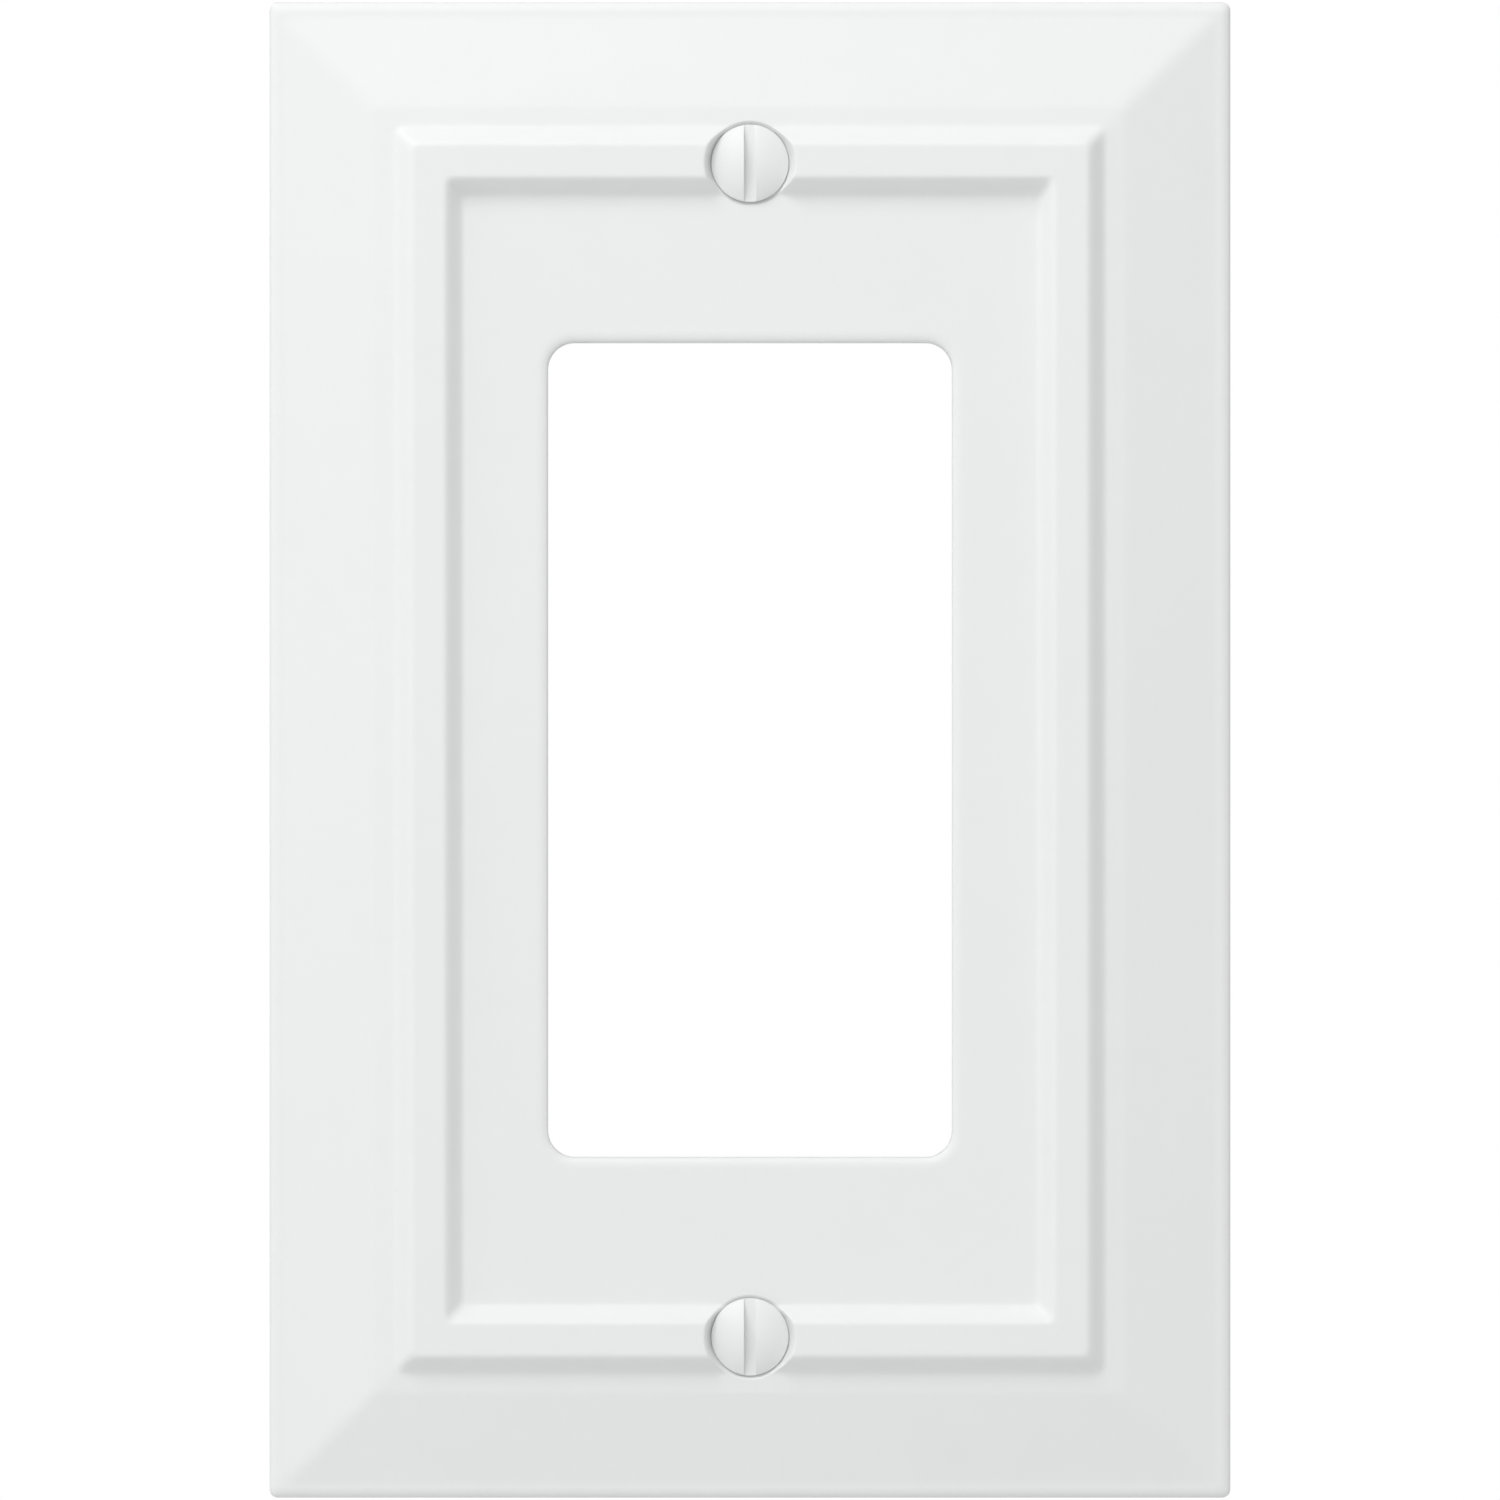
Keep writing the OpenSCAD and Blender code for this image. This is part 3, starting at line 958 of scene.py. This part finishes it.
def build_world(setup):
    """A soft studio all round, a little brighter above, with a white background."""
    world = bpy.data.worlds.new("soft_studio")
    bpy.context.scene.world = world
    world.use_nodes = True
    tree = world.node_tree
    tree.nodes.clear()
    place = add_node(tree, "ShaderNodeTexCoord")
    tilt = add_node(tree, "ShaderNodeVectorMath", [
        (0, place.outputs["Generated"]), (1, tuple(setup.ambient_tilt))], operation="DOT_PRODUCT")
    level = add_node(tree, "ShaderNodeMath", [
        (0, tilt.outputs["Value"]), (1, setup.ambient), (2, setup.ambient)],
        operation="MULTIPLY_ADD")
    light = add_node(tree, "ShaderNodeBackground", [
        ("Color", (1, 1, 1, 1)), ("Strength", level.outputs[0])])
    white = add_node(tree, "ShaderNodeBackground", [("Color", (1, 1, 1, 1)), ("Strength", 1.0)])
    path = add_node(tree, "ShaderNodeLightPath")
    mix = add_node(tree, "ShaderNodeMixShader", [
        (0, path.outputs["Is Camera Ray"]), (1, light.outputs[0]), (2, white.outputs[0])])
    out = add_node(tree, "ShaderNodeOutputWorld")
    tree.links.new(mix.outputs[0], out.inputs["Surface"])


def add_soft_light(setup, name):
    """A large soft light aimed at the middle of the plate, set by the studio's values of its name."""
    data = bpy.data.lights.new(name + "_light", "AREA")
    data.size = getattr(setup, name + "_size")
    data.energy = getattr(setup, name + "_power")
    data.color = getattr(setup, name + "_tint")
    lamp = bpy.data.objects.new(name + "_light", data)
    lamp.location = getattr(setup, name + "_place")
    lamp.rotation_euler = (-lamp.location).to_track_quat("-Z", "Y").to_euler()
    lamp.visible_camera = False
    bpy.context.scene.collection.objects.link(lamp)


def add_camera(setup):
    """A long lens square on to the plate, level with the middle of its opening."""
    data = bpy.data.cameras.new("front_camera")
    to_flank = setup.distance - PLATE_LOW.y - bpy.context.scene.wallplate_sizes.edge_h
    data.lens = data.sensor_width * to_flank / setup.view_height
    data.clip_start, data.clip_end = 0.05, 100
    camera = bpy.data.objects.new("front_camera", data)
    camera.location = (0, PLATE_LOW.y - setup.distance, 0)
    camera.rotation_euler = (math.pi / 2, 0, 0)
    bpy.context.scene.collection.objects.link(camera)
    bpy.context.scene.camera = camera


# ---------------------------------------------------------------- operators


class WALLPLATE_OT_stage(Operator):
    """Set up the floor, the light and the camera"""

    bl_idname = "wallplate.stage"
    bl_label = "Stage"

    def execute(self, context):
        setup = context.scene.wallplate_studio
        context.scene.view_settings.view_transform = "Standard"
        build_world(setup)
        bm = bmesh.new()
        bmesh.ops.create_grid(bm, x_segments=1, y_segments=1, size=setup.floor_size / 2)
        bmesh.ops.translate(bm, verts=bm.verts, vec=(0, 0, PLATE_LOW.z - setup.floor_gap))
        mesh = bpy.data.meshes.new("studio_floor")
        bm.to_mesh(mesh)
        bm.free()
        mesh.materials.append(studio_floor_material(setup))
        floor = bpy.data.objects.new("studio_floor", mesh)
        context.scene.collection.objects.link(floor)
        for name in ("key", "left"):
            add_soft_light(setup, name)
        add_camera(setup)
        return {"FINISHED"}


class WALLPLATE_OT_cover_plate(Operator):
    """Build the cast and painted plate"""

    bl_idname = "wallplate.cover_plate"
    bl_label = "Cover Plate"

    def execute(self, context):
        sizes, finish = context.scene.wallplate_sizes, context.scene.wallplate_finish
        group = bpy.data.node_groups.get("Sprayed Paint") or sprayed_paint_group()
        paint = painted(
            "white_paint", group, finish, finish.paint, finish.paint_shade, tuple(finish.back_paint)
        )
        finish_piece(
            "painted_plate", shape_plate(sizes), [paint], "plate", ["cover_plate"]
        )
        return {"FINISHED"}


class WALLPLATE_OT_screws(Operator):
    """Build the two cover screws, with painted heads and plated shanks"""

    bl_idname = "wallplate.screws"
    bl_label = "Cover Screws"

    def execute(self, context):
        sizes, finish = context.scene.wallplate_screws, context.scene.wallplate_finish
        group = bpy.data.node_groups.get("Sprayed Paint") or sprayed_paint_group()
        paint = painted("screw_paint", group, finish, finish.paint, finish.paint_shade)
        zinc = plated("zinc_plating", finish)
        for body, side in (("upper_screw", 1), ("lower_screw", -1)):
            bm = shape_head(sizes)
            head = bpy.data.objects.new("head_blank", bpy.data.meshes.new("head_blank"))
            bm.to_mesh(head.data)
            bm.free()
            context.scene.collection.objects.link(head)
            cut_slot(head, sizes)
            bm = bmesh.new()
            bm.from_mesh(head.data)
            bpy.data.objects.remove(head)
            rim = screw_heights(sizes)["rim_low"]
            for face in bm.faces:
                face.material_index = int(face.calc_center_median().z < rim)
            self.place(bm, side)
            finish_piece(body + "_head", bm, [paint, zinc], body, [body])
            bm = shape_thread(sizes)
            self.place(bm, side)
            finish_piece(body + "_thread", bm, [zinc], body, crease=25)
        return {"FINISHED"}

    @staticmethod
    def place(bm, side):
        """Moves a screw drawn round the origin to its hole and stands it up."""
        bmesh.ops.translate(bm, verts=bm.verts, vec=(0, side * SCREW_HEIGHT, 0))
        stand_up(bm)


class WALLPLATE_PT_panel(Panel):
    """Lists what the add-on builds"""

    bl_idname = "WALLPLATE_PT_panel"
    bl_label = "Wall Plate Cover"
    bl_space_type = "VIEW_3D"
    bl_region_type = "UI"
    bl_category = "Wall Plate"

    def draw(self, context):
        for operator in OPERATORS:
            self.layout.operator(operator.bl_idname)
        for group in PROPERTY_GROUPS:
            settings = getattr(context.scene, PROPERTY_GROUPS[group])
            box = self.layout.box()
            for name in group.__annotations__:
                box.prop(settings, name)


OPERATORS = (WALLPLATE_OT_stage, WALLPLATE_OT_cover_plate, WALLPLATE_OT_screws)
PROPERTY_GROUPS = {
    PlateSizes: "wallplate_sizes",
    ScrewSizes: "wallplate_screws",
    Finish: "wallplate_finish",
    StudioSetup: "wallplate_studio",
}


def register():
    for cls in (*PROPERTY_GROUPS, *OPERATORS, WALLPLATE_PT_panel):
        bpy.utils.register_class(cls)
    for group, name in PROPERTY_GROUPS.items():
        setattr(bpy.types.Scene, name, PointerProperty(type=group))


def unregister():
    for name in PROPERTY_GROUPS.values():
        delattr(bpy.types.Scene, name)
    for cls in (WALLPLATE_PT_panel, *reversed(OPERATORS), *reversed(PROPERTY_GROUPS)):
        bpy.utils.unregister_class(cls)


def main():
    register()
    bpy.ops.wallplate.stage()
    bpy.ops.wallplate.cover_plate()
    bpy.ops.wallplate.screws()


if __name__ == "__main__":
    main()
